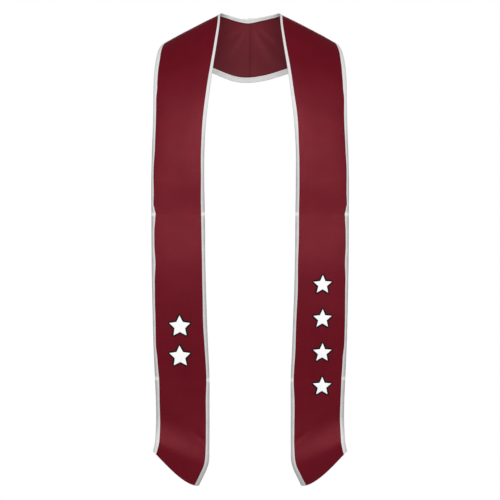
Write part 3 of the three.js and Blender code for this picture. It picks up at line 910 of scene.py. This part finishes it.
white_twill = twill("white_twill", (0.91, 0.91, 0.91), (0.97, 0.97, 0.97), rough=0.6)
black_twill = twill("black_twill", (0.004, 0.004, 0.0045), (0.009, 0.009, 0.01), rough=0.65)
white_thread = thread("white_thread", (0.8, 0.8, 0.8), (0.92, 0.92, 0.92), rough=0.45, specular=0.45)
black_thread = thread("black_thread", (0.002, 0.002, 0.0025), (0.007, 0.007, 0.008), rough=0.5, specular=0.16)
coats = {"satin": [satin, lining], "binding": [white_binding]}
coats |= {"patch_black": [black_twill], "patch_white": [white_twill]}
for piece, nodes, slot in finished.values():
    for coat in coats[slot]:
        piece.data.materials.append(coat)
print("patches and stitches:", [coat.name for coat in (white_twill, black_twill, white_thread, black_thread)])

# %% [markdown]
# ## Sew it
# A sewing line is a plain mesh of points and edges, laid on the surface like everything else. The modifier puts the
# stitches on it, the result is kept as a mesh, and the modifier goes. Its inputs are set by their identifiers,
# because names aren't unique in a node tree.


# %% Sew the binding and the borders of the stars
STITCH_LIFT = 0.00036  # over the slot, in the dent that the seam pulls into the binding


def sew(name, lines, closed, tree, **sizes):
    """Stitches as a mesh. Each line is (points, up), with the direction that the cloth faces."""
    points, edges, ups = [], [], []
    for line, up in lines:
        start, count = len(points), len(line)
        points += line.tolist()
        ups += up.tolist()
        edges += [(start + i, start + (i + 1) % count) for i in range(count if closed else count - 1)]
    mesh = bpy.data.meshes.new(name)
    mesh.from_pydata(points, edges, [])
    upward = mesh.attributes.new("up", "FLOAT_VECTOR", "POINT")
    upward.data.foreach_set("vector", np.asarray(ups, np.float32).ravel())
    piece = bpy.data.objects.new(name, mesh)
    scene.collection.objects.link(piece)
    modifier = piece.modifiers.new("stitches", "NODES")
    modifier.node_group = tree
    for item in tree.interface.items_tree:
        label = item.name.replace(" ", "_")
        if item.in_out == "INPUT" and label in sizes:
            modifier[item.identifier] = sizes[label]
    bpy.context.view_layer.update()
    sewn = bpy.data.meshes.new_from_object(piece.evaluated_get(bpy.context.evaluated_depsgraph_get()))
    piece.modifiers.remove(modifier)
    piece.data = sewn
    sewn.name = name
    sewn.shade_smooth()
    print(f"{name}: {len(sewn.polygons)} faces")
    return piece


def binding_lines(side):
    """The seam of both strips of a half, on the face and on the lining side."""
    length = np.linspace(0.003, HALF_LENGTH - 0.001, 700)
    station = station_at(length)
    width = width_at(station)
    lines = []
    for edge in ("inner", "outer"):
        distance = STITCH_LINE * front_leg(edge, side, length)
        across = distance / width if edge == "inner" else 1 - distance / width
        for way in (1, -1):
            up = way * facing(cloth[side], across, station) * [side, 1, 1]
            lines.append((lifted(side, across, station, way * (SLOT + STITCH_LIFT)), up))
    return lines


def patch_lines(outlines):
    """The border lines of patches, with the way up from two copies, one of them 1 mm higher."""
    lines = []
    for side, place, flat, lift in outlines:
        points, above = (lay_on_front(side, place, flat, np.full(len(flat), h)) for h in (lift, lift + 0.001))
        lines.append((points, (above - points) / 0.001))
    return lines


for half, side in SIDES.items():
    borders, edgings = patch_lines(border_lines[half]), patch_lines(edging_lines[half])
    seam = sew(f"{half}_binding_stitches", binding_lines(side), False, row_of_stitches, Finish=white_thread)
    finished[seam.name] = (seam, [], "binding")
    black = {"Finish": black_thread, "Stitch_Length": 0.0028}
    border = sew(f"{half}_star_borders", borders, True, satin_stitch_border, **black)
    finished[border.name] = (border, [], "patch_black")
    white = {"Finish": white_thread, "Stitch_Length": 0.0012, "Rise": 0.0003, "Thread": 0.0004}
    edging = sew(f"{half}_star_edging", edgings, True, satin_stitch_border, **white)
    finished[edging.name] = (edging, [], "patch_white")

# %% [markdown]
# ## Put each piece on the body
# Every piece rides on the one body, and the CAD parts that it stands for are hidden. The two panels are sheets of
# cloth, and the binding, patches and stitches go with them. Laid flat, a half is 102 mm wide on the front and widens
# over the shoulder to 130 mm at the seam.

# %% Ride and replace
for piece, nodes, slot in finished.values():
    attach(piece, "root")
    if nodes:
        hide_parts(*nodes)
print(len(finished), "pieces ride on the root body")

# %% [markdown]
# ## Light and backdrop
# The photograph has a pure white ground and one broad, soft light from in front and above, which brightens the
# chest, where the cloth faces a little upwards, and leaves the shoulders and tips darker. A large area light does
# that, and a weaker one behind keeps the back of the stole from going black. The world is white for the camera alone
# and a dim grey for lighting, so that curled edges can turn grey. The floor is a pale disc that fades out.

# %% A pale floor, far below as under a wearer
FLOOR_RADIUS, FLOOR_HEIGHT = 2.8, -1.8
disc = bmesh.new()
bmesh.ops.create_circle(disc, cap_ends=True, segments=96, radius=FLOOR_RADIUS)
bmesh.ops.translate(disc, verts=disc.verts, vec=(0, 0, FLOOR_HEIGHT))
floor = bpy.data.objects.new("floor", bpy.data.meshes.new("floor"))
disc.to_mesh(floor.data)
disc.free()
scene.collection.objects.link(floor)
pale, tree = finish("pale_floor", Base_Color=(0.88, 0.88, 0.88, 1), Roughness=0.8)
place = add_node(tree, "ShaderNodeTexCoord").outputs["Object"]
flat = add_node(tree, "ShaderNodeVectorMath", {0: place, 1: (1, 1, 0)}, operation="MULTIPLY")
out = add_node(tree, "ShaderNodeVectorMath", {0: flat}, operation="LENGTH")
faded = fade_out(tree, out.outputs["Value"], 1.0, 0.95 * FLOOR_RADIUS)
feed(tree, tree.nodes["Principled BSDF"].inputs["Alpha"], faded)
floor.data.materials.append(pale)
print("floor:", FLOOR_RADIUS, "m round, at", FLOOR_HEIGHT, "m")

# %% [markdown]
# Both lights are rectangles that aim at a point. Their sizes are in metres and set how soft the light is.


# %% Lights and world
def soft_light(name, place, aim, size, power):
    lamp = bpy.data.lights.new(name, "AREA")
    lamp.shape, lamp.energy = "RECTANGLE", power
    lamp.size, lamp.size_y = size
    light = bpy.data.objects.new(name, lamp)
    light.location = place
    way = np.array(aim) - np.array(place)
    light.rotation_euler = (math.acos(-way[2] / np.linalg.norm(way)), 0, math.atan2(-way[0], way[1]))
    scene.collection.objects.link(light)
    print(name, "light:", power, "W")


soft_light("key", place=(0, -3.06, 0.96), aim=(0, 0, 0), size=(5, 2.7), power=146)
soft_light("back_fill", place=(0, 4.5, 2.2), aim=(0, 0, -0.45), size=(3, 3), power=70)

world = bpy.data.worlds.new("studio")
scene.world = world
world.use_nodes = True
sky = world.node_tree
background = sky.nodes["Background"]
background.inputs["Color"].default_value = (1, 1, 1, 1)
SEEN_WHITE, LIGHTING_GREY = 1.0, 0.19
seen = add_node(sky, "ShaderNodeLightPath").outputs["Is Camera Ray"]
strength = add_node(sky, "ShaderNodeMapRange", {"Value": seen, "To Min": LIGHTING_GREY, "To Max": SEEN_WHITE})
feed(sky, background.inputs["Strength"], strength)
scene.view_settings.view_transform = "Standard"
